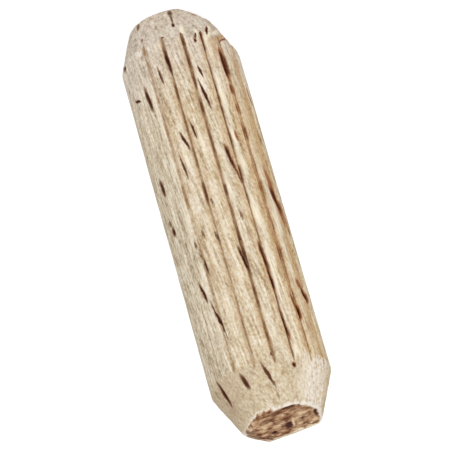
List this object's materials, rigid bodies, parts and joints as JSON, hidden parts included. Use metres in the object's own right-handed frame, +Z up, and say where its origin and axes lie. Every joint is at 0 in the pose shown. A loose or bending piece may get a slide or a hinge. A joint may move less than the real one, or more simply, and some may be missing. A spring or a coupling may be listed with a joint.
{
  "type": "dowel pin",
  "caption": "Straight wooden pin with pressed flutes and pointed, sawn ends, glued into drilled holes to line up and join two boards.",
  "frame": {"origin": "centre of the lower sawn end, on the surface that the pin stands on", "axes": "+Z up the pin's axis to the upper sawn end, with the larger knocked flat on that end's rim towards +Y"},
  "size_m": [0.008, 0.008, 0.0302],
  "materials": {
    "beech": "raw sanded beech with brown ray flecks"
  },
  "bodies": {
    "root": {"dowel_pin": "beech"}
  },
  "joints": []
}
